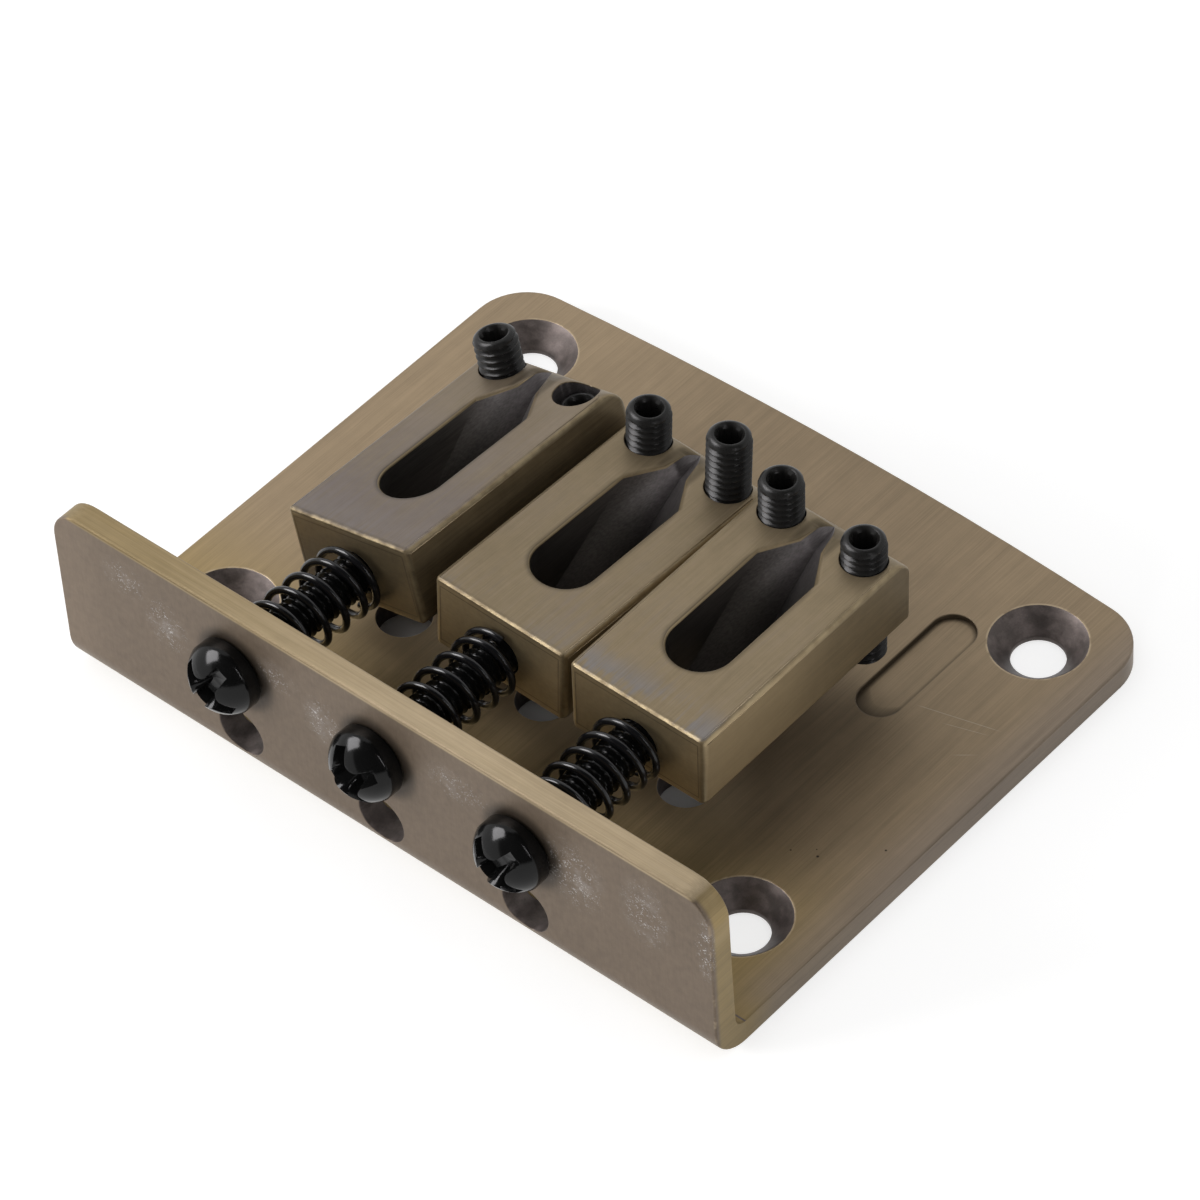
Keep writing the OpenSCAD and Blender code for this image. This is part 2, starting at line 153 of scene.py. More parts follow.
class BridgeSaddleLook(bpy.types.PropertyGroup):
    edge_round: size_property("Edge round", "Radius of the outer edges of a saddle", 0.2 * MM, 0.5 * MM)
    rim_round: size_property("Rim round", "Radius of the rims of the slot", 0.2 * MM, 0.3 * MM)
    brass: colour_property("Brass", "Tone of the saddles' sides and noses", (0.235, 0.180, 0.104))
    top_brass: colour_property("Top brass", "Tone of the saddles' tops", (0.234, 0.182, 0.111))
    grey: colour_property("Grey patina", "Violet grey film on the tops", (0.150, 0.125, 0.112))
    blue: colour_property("Blue patina", "Blue grey film along a top's rear edge", (0.185, 0.172, 0.165))
    slot: colour_property("Slot", "Dark sheen of the slot's walls", (0.058, 0.053, 0.048))


class BridgeScrewLook(bpy.types.PropertyGroup):
    pitch: size_property("Pitch", "Pitch of every thread", 0.5 * MM, 0.8 * MM)
    thread_depth: size_property("Thread depth", "Depth of every thread", 0.27 * MM, 0.4 * MM)
    rows_per_turn: IntProperty(
        name="Rows per turn", description="Rings of points in one turn of a thread",
        default=10, min=4, max=16)
    columns: IntProperty(
        name="Columns", description="Points round a thread", default=48, min=12, max=96)
    recess_depth: size_property("Recess depth", "Depth of the cross recess", 1.7 * MM, 2.2 * MM)
    socket_depth: size_property("Socket depth", "Depth of the hexagon socket", 1.8 * MM, 3.0 * MM)
    socket_flats: size_property("Socket flats", "Hexagon socket across its flats", 1.5 * MM, 2.0 * MM)
    gloss_black: colour_property("Gloss black", "Colour of the intonation screws", (0.004, 0.004, 0.004))
    satin_black: colour_property("Satin black", "Colour of the height screws", (0.010, 0.0095, 0.009))


class BridgeSpringLook(bpy.types.PropertyGroup):
    wire: size_property("Wire", "Diameter of the spring wire", 0.5 * MM, 0.7 * MM)
    end_pitch: size_property("End pitch", "Rise of one of the close turns", 0.95 * MM, 1.5 * MM)
    end_turns: FloatProperty(
        name="End turns", description="Turns that lie close together at each end",
        default=1.0, min=0.5, max=3.0)
    open_turns: FloatProperty(
        name="Open turns", description="Turns between the close ends",
        default=4.0, min=2.0, max=8.0)
    black: colour_property("Black", "Colour of the wire", (0.006, 0.006, 0.007))


class BridgeStageLook(bpy.types.PropertyGroup):
    azimuth: FloatProperty(
        name="Azimuth", description="Direction that the camera looks from, round the upright",
        default=math.radians(43.714), subtype="ANGLE", unit="ROTATION")
    elevation: FloatProperty(
        name="Elevation", description="Height of the camera above the horizon",
        default=math.radians(46.053), subtype="ANGLE", unit="ROTATION")
    roll: FloatProperty(
        name="Roll", description="Turn of the picture about the line of sight",
        default=math.radians(-4.110), subtype="ANGLE", unit="ROTATION")
    distance: FloatProperty(
        name="Distance", description="Distance from the camera to its target",
        default=411.93 * MM, min=0.1, max=2.0, subtype="DISTANCE", unit="LENGTH")
    focal: FloatProperty(
        name="Focal length", description="Focal length on a sensor 36 mm wide, in millimetres",
        default=197.41, min=20.0, max=400.0)
    target: FloatVectorProperty(
        name="Target", description="Point in the middle of the picture",
        default=(-3.956 * MM, 1.507 * MM, 0.0), size=3, subtype="TRANSLATION", unit="LENGTH")
    sky: FloatProperty(
        name="Sky", description="Strength of the even light from all sides",
        default=0.60, min=0.0, max=2.0)
    key: FloatProperty(
        name="Key", description="Power of the soft box low behind the lip, in watts",
        default=2.6, min=0.0, max=20.0)


class BridgeSettings(bpy.types.PropertyGroup):
    plate: PointerProperty(type=BridgePlateLook)
    saddle: PointerProperty(type=BridgeSaddleLook)
    screw: PointerProperty(type=BridgeScrewLook)
    spring: PointerProperty(type=BridgeSpringLook)
    stage: PointerProperty(type=BridgeStageLook)


class Value:
    """A socket in a shader tree. Arithmetic adds Math nodes, and Vector Math nodes on vectors."""

    def __init__(self, shader, socket):
        self.shader = shader
        self.socket = socket

    def _math(self, operation, first, second=None):
        if "VECTOR" in (getattr(getattr(v, "socket", None), "type", "") for v in (first, second)):
            return self.shader.node("ShaderNodeVectorMath", {"operation": operation}, [first, second])
        return self.shader.node("ShaderNodeMath", {"operation": operation}, [first, second])

    def __add__(self, other):
        return self._math("ADD", self, other)

    __radd__ = __add__

    def __sub__(self, other):
        return self._math("SUBTRACT", self, other)

    def __rsub__(self, other):
        return self._math("SUBTRACT", other, self)

    def __mul__(self, other):
        return self._math("MULTIPLY", self, other)

    __rmul__ = __mul__

    def __truediv__(self, other):
        return self._math("DIVIDE", self, other)

    def __rtruediv__(self, other):
        return self._math("DIVIDE", other, self)

    def __pow__(self, other):
        return self._math("POWER", self, other)

    def __abs__(self):
        return self._math("ABSOLUTE", self)

    def at_least(self, other):
        return self._math("MAXIMUM", self, other)

    def at_most(self, other):
        return self._math("MINIMUM", self, other)

    def fade(self, start, end):
        """0 up to start and 1 from end on, with a smooth step between them. end may lie below start."""
        return self.shader.node(
            "ShaderNodeMapRange",
            {"interpolation_type": "SMOOTHSTEP"},
            {"Value": self, "From Min": start, "From Max": end})

    def line(self, place, width):
        """1 at a place and 0 from half a width away."""
        return abs(self - place).fade(0.5 * width, 0.0)

    @property
    def xyz(self):
        """The three parts of a vector, each as a number."""
        return self.shader.node("ShaderNodeSeparateXYZ", {}, [self], outputs=("X", "Y", "Z"))


class Shader:
    """Builds the node tree of one material, or of a world."""

    def __init__(self, name, use="Material"):
        self.output = "ShaderNodeOutput" + use
        self.block = getattr(bpy.data, use.lower() + "s").new(name)
        self.block.use_nodes = True
        self.tree = self.block.node_tree
        self.tree.nodes.clear()

    def node(self, kind, settings=None, inputs=None, outputs=None):
        """Adds a node, sets it, then fills its sockets from a list in order or a dict by name."""
        made = self.tree.nodes.new(kind)
        for key, value in (settings or {}).items():
            setattr(made, key, value)
        named = inputs.items() if isinstance(inputs, dict) else enumerate(inputs or [])
        for key, value in named:
            if value is not None:
                self._fill(made.inputs[key], value)
        if outputs is None:
            shown = [socket for socket in made.outputs if socket.enabled]
            return Value(self, shown[0]) if shown else made
        return [Value(self, made.outputs[name]) for name in outputs]

    def _fill(self, socket, value):
        if isinstance(value, Value):
            self.tree.links.new(value.socket, socket)
        elif socket.type == "RGBA" and len(value) == 3:
            socket.default_value = (*value, 1.0)
        else:
            socket.default_value = value

    def mix(self, share, first, second):
        """The colour first where share is 0 and second where it is 1."""
        mixed = self.node("ShaderNodeMix", {"data_type": "RGBA"})
        shown = [socket for socket in mixed.socket.node.inputs if socket.enabled]
        for socket, value in zip(shown, (share, first, second)):
            self._fill(socket, value)
        return mixed

    def tint(self, colour, value):
        """A colour made brighter or darker by a number."""
        return self.node(
            "ShaderNodeVectorMath", {"operation": "SCALE"}, {"Vector": colour, "Scale": value})

    def coords(self):
        """The place on the piece, in metres in its own frame."""
        return self.node("ShaderNodeTexCoord", outputs=["Object"])[0]

    def facing(self):
        """The surface's direction in the piece's own frame."""
        direction = self.node("ShaderNodeNewGeometry", outputs=["True Normal"])[0]
        return self.node(
            "ShaderNodeVectorTransform",
            {"vector_type": "NORMAL", "convert_from": "WORLD", "convert_to": "OBJECT"},
            [direction])

    def seen(self):
        """1 for what the camera or a mirror sees, and 0 for what only lights the bridge."""
        camera, mirror, glass = self.node("ShaderNodeLightPath", outputs=[
            "Is Camera Ray", "Is Glossy Ray", "Is Transmission Ray"])
        return camera.at_least(mirror).at_least(glass)

    def noise(self, place, scales, detail=3.0, roughness=0.5, seed=0.0):
        """Noise whose grains have the sizes in scales along X, Y and Z, in millimetres."""
        spread = self.node(
            "ShaderNodeMapping", {},
            {"Vector": place, "Scale": [1.0 / (size * MM) for size in scales], "Location": [seed] * 3})
        return self.node(
            "ShaderNodeTexNoise", {"noise_dimensions": "3D"},
            {"Vector": spread, "Scale": 1.0, "Detail": detail, "Roughness": roughness},
            outputs=["Fac"])[0]

    def brushed(self, place, width, reach, long_way, seed=0.0):
        """Brush marks of a width, and of a reach along one axis, in millimetres. Mostly near a half."""
        sizes = [reach if axis == long_way else width for axis in range(3)]
        return self.noise(place, sizes, roughness=0.55, seed=seed)

    def bump(self, height, distance, strength=1.0):
        return self.node(
            "ShaderNodeBump", {},
            {"Height": height, "Distance": distance, "Strength": strength})

    def finish(self, **sockets):
        """Ends the material with one principled surface."""
        names = {
            key.replace("_", " ").title().replace("Ior", "IOR"): value
            for key, value in sockets.items()}
        return self.end(self.node("ShaderNodeBsdfPrincipled", {}, names))

    def end(self, surface):
        """Ends the tree with a surface, and returns the material or world."""
        self.node(self.output, {}, {"Surface": surface})
        return self.block


def strongest(parts):
    """The greatest of several shader values above 0."""
    most = 0.0
    for part in parts:
        most = part.at_least(most)
    return most


def distance(*parts):
    """Length of a vector given by its parts, as shader values."""
    total = parts[0] * parts[0]
    for part in parts[1:]:
        total = total + part * part
    return total ** 0.5


# Drifts of white specks on the lip's outer face: place along X, height, half width, half height, share
SPECK_DRIFTS = (
    (-20.3, 11.4, 1.7, 1.4, 0.7),
    (-17.0, 9.4, 1.6, 1.9, 1.0),
    (-7.8, 11.0, 1.6, 1.2, 0.6),
    (-4.2, 9.4, 1.4, 1.9, 0.9),
    (6.7, 11.0, 2.4, 1.3, 0.6),
    (15.7, 9.6, 2.2, 2.6, 1.0),
    (21.2, 10.0, 1.7, 2.6, 0.8),
    (25.8, 10.2, 0.7, 2.5, 1.3),
)
# Fine scratches on the plate: start and end in the plane, width
SCRATCHES = (
    ((18.3, 5.5), (24.0, 7.0), 0.05),
    ((20.5, 5.3), (23.6, 6.3), 0.04),
    ((22.6, 3.6), (24.0, 4.7), 0.05),
)
# Dark pits in the plate: place in the plane, radius
PITS = ((21.4, -7.8, 0.12), (19.8, -8.4, 0.08), (24.3, -4.9, 0.10), (21.0, -7.4, 0.06))


def plate_brass(look):
    """Brushed aged brass of the plate and lip, speckled on the lip's outer face, with painted shade in the
    grooves, round the screw heads, along the lip's top edge and, in part, over the lip's outer face.
    """
    shader = Shader("plate_brass")
    place = shader.coords()
    x, y, z = place.xyz
    on_lip_top = z.fade(PLATE_HIGH.z - 0.35 * MM, PLATE_HIGH.z - 0.12 * MM)
    on_lip_face = y.fade(PLATE_LOW.y + 0.5 * MM, PLATE_LOW.y + 0.12 * MM) * (1.0 - on_lip_top)
    on_plate = z.line(SHEET, 0.5 * MM) * y.fade(PLATE_LOW.y + 1.9 * MM, PLATE_LOW.y + 2.5 * MM)
    fine = shader.brushed(place, 0.07, 5.0, 1)
    broad = shader.brushed(place, 0.5, 14.0, 1, seed=3.7)
    fine_lip = shader.brushed(place, 0.06, 4.0, 0, seed=6.1)
    broad_lip = shader.brushed(place, 0.28, 9.0, 0, seed=8.7)
    weave = shader.brushed(place, 0.16, 1.2, 2, seed=2.4)
    clouds = shader.noise(place, [8] * 3, seed=1.3)
    mottle = shader.noise(place, [1.1] * 3, detail=4.0, roughness=0.6, seed=4.9)

    grain = fine * (1.0 - on_lip_top) + fine_lip * on_lip_top
    bands = broad * (1.0 - on_lip_top) + broad_lip * on_lip_top
    near_bend = y.fade(-5.0 * MM, -17.0 * MM)
    tone = shader.mix(near_bend, look.brass, look.olive)
    greyed = x.fade(23.0 * MM, PLATE_HIGH.x) * y.fade(PLATE_LOW.y + 2.0 * MM, PLATE_LOW.y + 6.0 * MM)
    tone = shader.mix(0.75 * greyed, tone, (0.205, 0.165, 0.130))
    # Partly painted shade: the lip's outer face takes a darker, greyer brass than the rest of the sheet
    tone = shader.mix(on_lip_face, tone, look.lip_brass_and_shade)
    to_right = x.fade(-24.0 * MM, 6.0 * MM)
    rubbed = on_lip_top * (0.15 + 0.60 * to_right + 0.4 * (bands - 0.5))
    tone = shader.mix(rubbed, tone, look.bare)
    corner = x.fade(23.5 * MM, 25.6 * MM) * z.fade(9.8 * MM, 12.0 * MM) * (1.0 - on_lip_face)
    tone = shader.mix(corner * clouds.fade(0.3, 0.6) * 0.9, tone, look.bare)
    level = 1.0 + 0.55 * (grain - 0.5) * (1.0 - 0.6 * on_lip_face)
    level = level + (0.42 - 0.2 * on_lip_top) * (bands - 0.5)
    level = level + 0.22 * (clouds - 0.5) + 0.16 * (mottle - 0.5)
    level = level + 0.30 * (weave - 0.5) * on_lip_face
    level = level + 0.22 * x.fade(-6.0 * MM, -22.0 * MM) * on_plate
    level = level + 0.18 * x.fade(-21.0 * MM, -25.5 * MM) * on_lip_face
    at_end = x.fade(25.9 * MM, 26.2 * MM)
    level = level + at_end * (0.28 * z.fade(9.0 * MM, 12.0 * MM) - 0.18 * z.fade(6.0 * MM, 1.0 * MM))
    # Painted shade that dims the highlight along the lip's outer top edge, which is also made rougher there
    edge_painted_shade = z.fade(PLATE_HIGH.z - 0.18 * MM, PLATE_HIGH.z - 0.06 * MM) \
        * y.fade(PLATE_LOW.y + 0.18 * MM, PLATE_LOW.y + 0.06 * MM)
    level = level - 0.30 * edge_painted_shade
    # Painted shade inside the grooves and round the screw heads on the lip's outer face
    painted_shade = (0.72 * groove_painted_shade(x, y, z)).at_least(0.6 * head_painted_shade(x, z, broad) * on_lip_face)
    streaked = shader.tint(tone, level * (1.0 - painted_shade))

    worn = plate_wear(shader, place, x, y, z)
    bright = shader.mix(worn, streaked, look.bare)
    marks = scratches(x, y) * on_plate
    scratched = shader.mix(marks * 0.45, bright, (0.42, 0.38, 0.30))
    pitted = shader.mix(pits(x, y) * on_plate, scratched, (0.03, 0.025, 0.02))
    chalk = speck_drifts(shader, place, x, z) * on_lip_face
    chalked = shader.mix(chalk, pitted, (0.52, 0.50, 0.49))
    return shader.finish(
        base_color=chalked,
        metallic=0.62 - 0.5 * chalk,
        roughness=0.47 + 0.16 * (grain - 0.5) + 0.25 * chalk - 0.06 * worn + 0.22 * edge_painted_shade,
        specular_ior_level=0.3,
        normal=shader.bump(grain + 0.6 * bands, 0.004 * MM, 0.35))


def groove_painted_shade(x, y, z):
    """Painted shade: a soft dark edge inside the two shallow grooves, widest at the end towards the lip, where the
    wall's shadow falls.
    """
    across = abs(x) - GROOVE_MIDDLE[0]
    along = y - GROOVE_MIDDLE[1]
    beyond = along - along.at_least(-GROOVE_REACH).at_most(GROOVE_REACH)
    inward = GROOVE_RADIUS - distance(across, beyond)
    reach = 0.35 * MM + 0.95 * MM * along.fade(-GROOVE_REACH + 0.6 * MM, -GROOVE_REACH - 0.5 * MM)
    dark = (1.0 - inward / reach).at_least(0.0).at_most(1.0)
    return dark * inward.fade(-0.12 * MM, 0.02 * MM) * z.fade(SHEET + 0.2 * MM, SHEET + 0.1 * MM)


def head_painted_shade(x, z, uneven):
    """Painted shade: a dark soft ring on the lip's outer face round each screw head, heavier up and to the right,
    where the head's shadow falls.
    """
    right, up = 0.22 * MM, 0.12 * MM
    middles = (FRAMES[string].translation for string in STRINGS)
    dark = strongest(
        distance(x - (middle.x + right), z - (middle.z + up)).fade(3.45 * MM, 2.5 * MM)
        for middle in middles)
    return dark * (0.7 + 0.6 * uneven)


def plate_wear(shader, place, x, y, z):
    """Worn brass along the upright edges of the lip and the rims of the countersinks."""
    broken = shader.noise(place, [0.7] * 3, detail=4.0, seed=5.1)
    side = 0.5 * (PLATE_HIGH.x - PLATE_LOW.x) - abs(x)
    near_side = side.fade(0.22 * MM, 0.08 * MM)
    near_face = (y - PLATE_LOW.y).fade(0.2 * MM, 0.06 * MM)
    edge = near_side * near_face
    across = abs(x) - 0.5 * HOLES["spacing_x_mm"] * MM
    along = abs(y) - 0.5 * HOLES["spacing_y_mm"] * MM
    out = distance(across, along) - SINK_RADIUS
    rims = abs(out).fade(0.16 * MM, 0.04 * MM) * z.fade(1.3 * MM, 1.6 * MM)
    return (edge * broken.fade(0.50, 0.66) * 0.35).at_least(rims * broken.fade(0.35, 0.6) * 0.8)


def scratches(x, y):
    """Thin straight scratches on the plate's top."""
    marks = []
    for (x1, y1), (x2, y2), width in SCRATCHES:
        run = Vector((x2 - x1, y2 - y1))
        way = run.normalized()
        ahead = (x - x1 * MM) * way.x + (y - y1 * MM) * way.y
        aside = (y - y1 * MM) * way.x - (x - x1 * MM) * way.y
        end = run.length * MM
        within = ahead.fade(-0.2 * MM, 0.6 * MM) * ahead.fade(end, end - 1.2 * MM)
        marks.append(aside.line(0.0, 2 * width * MM) * within)
    return strongest(marks)


def pits(x, y):
    """Small dark pits in the plate's top."""
    return strongest(
        distance(x - px * MM, y - py * MM).fade(radius * MM, 0.4 * radius * MM)
        for px, py, radius in PITS)


def speck_drifts(shader, place, x, z):
    """White specks that gather in drifts on the lip's outer face."""
    drifts = strongest(
        distance((x - px * MM) / (wide * MM), (z - pz * MM) / (high * MM)).fade(1.35, 0.2) * share
        for px, pz, wide, high, share in SPECK_DRIFTS)
    film = shader.noise(place, [1.6] * 3, detail=4.0, roughness=0.65, seed=7.7)
    specks = shader.noise(place, [0.11] * 3, detail=2.0, roughness=0.6, seed=9.2)
    dense = shader.noise(place, [0.5] * 3, seed=3.3)
    spots = specks.fade(0.56, 0.66) * dense.fade(0.38, 0.58)
    return (drifts * (film.fade(0.40, 0.75) * 0.22 + spots * 0.9)).at_most(1.0)


def dark_patina(look):
    """Blackened walls of the holes, countersinks and slots."""
    shader = Shader("dark_patina")
    place = shader.coords()
    smear = shader.noise(place, [0.9, 0.9, 0.5], detail=4.0, seed=4.4)
    fine = shader.noise(place, [0.12] * 3, detail=2.0, seed=6.1)
    colour = shader.tint(
        shader.mix(smear.fade(0.35, 0.70), look.patina, (0.135, 0.112, 0.104)),
        0.8 + 0.4 * fine)
    return shader.finish(
        base_color=colour,
        metallic=0.6,
        roughness=0.38 + 0.2 * smear,
        specular_ior_level=0.25,
        normal=shader.bump(smear + 0.4 * fine, 0.01 * MM, 0.4))


def slot_sheen(look, high):
    """Dark walls of a saddle's slot, with a painted sheen that grows paler up the ramp to the notch."""
    shader = Shader("slot_sheen")
    place = shader.coords()
    y = place.xyz[1]
    drawn = shader.brushed(place, 0.10, 2.5, 1, seed=2.2)
    cloud = shader.noise(place, [1.3] * 3, detail=2.0, seed=5.9)
    # Painted light and shade: the dark patina is painted paler up the ramp towards the notch and stays darkest at
    # the rear, deep in the slot
    ramp_painted_light = y.fade(0.60 * high.y, 0.98 * high.y)
    tone = shader.mix(ramp_painted_light, look.slot, (0.160, 0.146, 0.146))
    return shader.finish(
        base_color=shader.tint(tone, 0.45 + 1.1 * drawn),
        metallic=0.8,
        roughness=0.34 + 0.16 * cloud,
        specular_ior_level=0.3,
        normal=shader.bump(drawn, 0.006 * MM, 0.4))


def saddle_brass(look, string, greyed, blued, behind, beside, low, high):
    """Brushed aged brass of one saddle, with a grey and a blue film on top, a lined rear face, and painted light
    and shade on its rear face, right side, rear top edge and round its slot.
    """
    shader = Shader(f"saddle_brass_{string}")
    place = shader.coords()
    x, y, z = place.xyz
    seed = 11.0 * STRINGS.index(string)
    rightward, _, upward = shader.facing().xyz
    on_top = upward.fade(0.75, 0.97)
    on_rear = y.fade(0.06 * MM, 0.02 * MM)
    on_right = rightward.fade(0.6, 0.9)
    along = shader.brushed(place, 0.06, 4.0, 1, seed=seed)
    across = shader.brushed(place, 0.06, 3.0, 0, seed=seed + 5.0)
    grain = along * (1.0 - on_rear) + across * on_rear
    bands = shader.brushed(place, 0.35, 5.0, 1, seed=seed + 3.7)
    clouds = shader.noise(place, [4.5] * 3, seed=seed + 1.9)
    mottle = shader.noise(place, [0.8] * 3, detail=4.0, roughness=0.6, seed=seed + 6.6)

    tone = shader.mix(on_top, look.brass, look.top_brass)
    to_rear = y.fade(0.8 * high.y, 0.15 * high.y)
    film = (greyed + 0.9 * (bands - 0.5) + 0.7 * (clouds - 0.5)).fade(0.0, 1.0)
    film = film * (0.45 + 0.55 * to_rear)
    filmed = shader.mix(film * on_top, tone, look.grey)
    patch = (clouds + 0.5 * (bands - 0.5)).fade(0.44, 0.60)
    patch = patch * y.fade(0.16 * high.y, 0.03 * high.y)
    blue = shader.mix(patch * blued * on_top, filmed, look.blue)
    level = 1.0 + 0.50 * (grain - 0.5) + 0.35 * (bands - 0.5)
    level = level + 0.26 * (clouds - 0.5) + 0.2 * (mottle - 0.5)
    # Painted light and shade on the right side, graded from its rear to its front
    at_rear, at_front = beside
    level = level + on_right * (
        at_front + (at_rear - at_front) * y.fade(0.85 * high.y, 0.15 * high.y))
    # Painted light and shade on the rear face, and painted shade round the slot on the top
    level = level * (1.0 + behind * on_rear) * (1.0 - 0.45 * slot_shade(x, y, high) * on_top)
    streaked = shader.tint(blue, level)

    from_side = high.x - abs(x)
    from_end = y.at_most(high.y - y)
    from_top = (high.z - z).at_most(z - low.z)
    side, end, top = (d.fade(0.42 * MM, 0.08 * MM) for d in (from_side, from_end, from_top))
    edge = (side * end).at_least(end * top).at_least(side * top)
    broken = shader.noise(place, [0.8] * 3, detail=4.0, seed=seed + 7.3)
    rear = y.fade(0.5 * MM, 0.2 * MM)
    # Painted shade that dims the highlight along the rear top edge, more on greyer saddles; the edge is also made
    # rougher there
    edge_painted_shade = (0.45 + 0.75 * greyed) * rear * (high.z - z).fade(0.30 * MM, 0.10 * MM)
    # Worn brass along the edges, with a little painted highlight added along the rear edges
    worn = edge * broken.fade(0.32, 0.66) * (0.40 + 0.10 * rear)
    bright = shader.mix(worn, shader.tint(streaked, 1.0 - 0.3 * edge_painted_shade), (0.44, 0.36, 0.22))
    inset = from_side.at_most(from_top)
    lines = inset.line(0.52 * MM, 0.16 * MM).at_least(0.6 * inset.line(0.20 * MM, 0.12 * MM))
    lines = lines * on_rear
    lined = shader.mix(lines * (0.35 + 0.5 * broken), bright, (0.055, 0.042, 0.028))
    nicks = shader.noise(place, [0.22] * 3, roughness=0.7, seed=seed + 2.2)
    nicked = shader.mix(nicks.fade(0.72, 0.78) * 0.6, lined, (0.07, 0.055, 0.035))
    return shader.finish(
        base_color=nicked,
        metallic=0.62 + 0.2 * worn,
        roughness=0.45 + 0.16 * (grain - 0.5) - 0.12 * worn + 0.24 * edge_painted_shade,
        specular_ior_level=0.3,
        normal=shader.bump(grain + 0.6 * bands, 0.004 * MM, 0.35))


def slot_shade(x, y, high):
    """Dark soft edge round the string slot and its notch, on a saddle's top."""
    rear, front, half_width, notch_half = 6.15 * MM, 12.9 * MM, 2.2 * MM, 1.05 * MM
    beyond = y - y.at_least(rear).at_most(front)
    round_slot = distance(x, beyond) - half_width
    notch = (abs(x) - notch_half).at_least(front - y).at_least(y - 0.97 * high.y)
    return round_slot.at_most(notch).fade(0.45 * MM, 0.05 * MM)


def black_steel(name, colour, roughness, grit, gloss):
    """Blackened steel with a little unevenness in its shine."""
    shader = Shader(name)
    place = shader.coords()
    cloud = shader.noise(place, [0.7] * 3, seed=2.9)
    fine = shader.noise(place, [0.07] * 3, detail=2.0, seed=8.3)
    clouded = shader.mix(cloud, colour, [1.5 * part for part in colour])
    return shader.finish(
        base_color=shader.tint(clouded, 0.8 + 0.4 * fine),
        metallic=0.0,
        roughness=roughness + grit * (cloud - 0.5) + grit * (fine - 0.5),
        specular_ior_level=gloss,
        normal=shader.bump(fine, 0.003 * MM, 0.3))


def add_object(name, data, place=Matrix.Identity(4)):
    """Puts a mesh, lamp or camera into the scene."""
    made = bpy.data.objects.new(name, data)
    bpy.context.scene.collection.objects.link(made)
    made.matrix_world = place
    return made


def add_piece(name, mesh, place, materials, body, node):
    """Adds a mesh, given in the frame place, as a piece that rides on a body for a CAD node."""
    piece = add_object(name, mesh, place)
    for material in materials:
        mesh.materials.append(material)
    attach(piece, body)
    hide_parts(node)
    return piece


def even_shading(piece):
    """Keeps large flat faces flat in shading, so that only their rounded edges turn."""
    weighted = piece.modifiers.new("even_shading", "WEIGHTED_NORMAL")
    weighted.mode = "FACE_AREA"
    weighted.weight = 100
    weighted.keep_sharp = True


def mesh_from(bm, name, sharp=math.radians(35)):
    """Turns a bmesh into a smooth mesh that stays sharp above an angle."""
    mesh = bpy.data.meshes.new(name)
    bm.to_mesh(mesh)
    bm.free()
    mesh.shade_smooth()
    mesh.set_sharp_from_angle(angle=sharp)
    return mesh


def clean_copy(node, place):
    """A CAD node's mesh in the frame place, with one face for each flat side."""
    bm = bmesh.new()
    bm.from_mesh(frame["nodes"][node].data)
    bm.transform(place.inverted())
    bmesh.ops.remove_doubles(bm, verts=bm.verts, dist=0.0005 * MM)
    bmesh.ops.dissolve_limit(
        bm, angle_limit=math.radians(0.4), verts=bm.verts, edges=bm.edges,
        use_dissolve_boundaries=False)
    return bm


def convex_edges(bm, choose, angle=math.radians(28)):
    """The sharp outer edges whose middle passes the test choose."""
    return [
        e for e in bm.edges
        if e.is_manifold and e.is_convex and e.calc_face_angle() > angle
        and choose((e.verts[0].co + e.verts[1].co) / 2)]


def round_edges(bm, edges, radius, segments, material=-1):
    """Rounds edges; faces that the round makes take the material, or their neighbour's for -1."""
    bmesh.ops.bevel(
        bm, geom=edges, offset=radius, offset_type="OFFSET", segments=segments,
        profile=0.5, affect="EDGES", clamp_overlap=False, loop_slide=True, material=material)


def to_mounting_hole(point):
    """Distance of a point from the axis of the nearest mounting hole."""
    across = abs(point.x) - 0.5 * HOLES["spacing_x_mm"] * MM
    along = abs(point.y) - 0.5 * HOLES["spacing_y_mm"] * MM
    return math.hypot(across, along)


class BRIDGE_OT_plate(bpy.types.Operator):
    """Dresses the bent plate in aged brass"""

    bl_idname = "bridge.plate"
    bl_label = "Bent plate"

    def execute(self, context):
        look = context.scene.bridge.plate
        bm = clean_copy("base_plate", Matrix.Identity(4))
        for face in bm.faces:
            face.material_index = int(self.is_wall(face, face.calc_center_median()))
        outer = convex_edges(bm, lambda p: not self.is_rim(p) and not self.in_bend(p))
        round_edges(bm, outer, look.edge_round, 3)
        round_edges(bm, convex_edges(bm, self.is_rim), look.rim_round, 2)
        piece = add_piece(
            "bent_plate", mesh_from(bm, "bent_plate"), Matrix.Identity(4),
            [plate_brass(look), dark_patina(look)], PLATE_BODY, "base_plate")
        even_shading(piece)
        return {"FINISHED"}

    def is_rim(self, point):
        """True on the rims of holes and grooves."""
        if to_mounting_hole(point) < HOLE_ZONE:
            return True
        in_middle = abs(point.x) < GROOVED_HALF and point.y < PLATE_HIGH.y - HEM
        if point.y < PLATE_LOW.y + HEM:
            return in_middle and self.on_lip(point)
        return in_middle

    def on_lip(self, point):
        """True at the heights of the lip's flat faces."""
        return LIP_HEM < point.z < PLATE_HIGH.z - LIP_HEM

    def in_bend(self, point):
        """True at the ends of the inner bend, whose narrow facets stay sharp."""
        return all(BEND_START < part < BEND_END for part in (point.y - PLATE_LOW.y, point.z))

    def is_wall(self, face, middle):
        """True for the wall of a hole or countersink."""
        if to_mounting_hole(middle) < SINK_RADIUS - 0.01 * MM:
            return True
        if abs(middle.x) > BORED_HALF:
            return False
        square = 0.2
        if middle.y < PLATE_LOW.y + BEND_END:
            return abs(face.normal.y) < square and self.on_lip(middle)
        in_plate = PLATE_LOW.y + HEM < middle.y < PLATE_HIGH.y - FRONT_HEM
        return in_plate and abs(face.normal.z) < square and middle.z < SHEET


